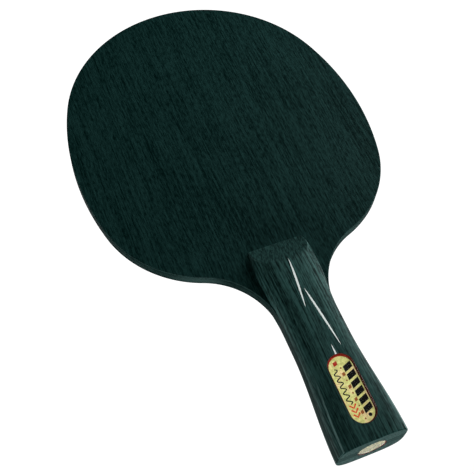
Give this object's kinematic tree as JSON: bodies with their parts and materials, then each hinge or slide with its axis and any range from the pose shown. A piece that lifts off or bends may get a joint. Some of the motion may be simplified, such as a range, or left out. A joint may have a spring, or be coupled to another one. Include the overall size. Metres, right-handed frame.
{
  "type": "table tennis paddle",
  "caption": "Bare laminated table tennis paddle with a rounded head, a flared wooden handle, slim silver inlays, an oblong badge and a round butt disc.",
  "frame": {"origin": "middle of the butt end of the handle, on the middle plane of the blade", "axes": "+Z from the butt to the tip of the head, +X to the right when the front is seen, and -Y out of the front face, the side with the badge"},
  "size_m": [0.15, 0.0237, 0.258],
  "materials": {
    "stained_veneer": "green-black stain, open straight grain, dull satin",
    "stained_inner_ply": "grey-green stained ply edge",
    "stained_core": "grey-green stained core edge",
    "stained_handle": "green-black stain, straight grain, smooth satin",
    "silver_inlay": "bright satin silver",
    "printed_label": "printed label",
    "printed_disc": "printed disc with a fine pattern",
    "clear_lens": "clear gloss resin"
  },
  "bodies": {
    "root": {"front_outer_ply": "stained_veneer", "front_inner_ply": "stained_inner_ply", "core_ply": "stained_core", "back_inner_ply": "stained_inner_ply", "back_outer_ply": "stained_veneer", "front_handle_scale": "stained_handle", "back_handle_scale": "stained_handle", "upper_inlay": "silver_inlay", "middle_inlay": "silver_inlay", "lower_inlay": "silver_inlay", "badge_label": "printed_label", "badge_lens": "clear_lens", "butt_disc": "printed_disc", "butt_lens": "clear_lens"}
  },
  "joints": []
}
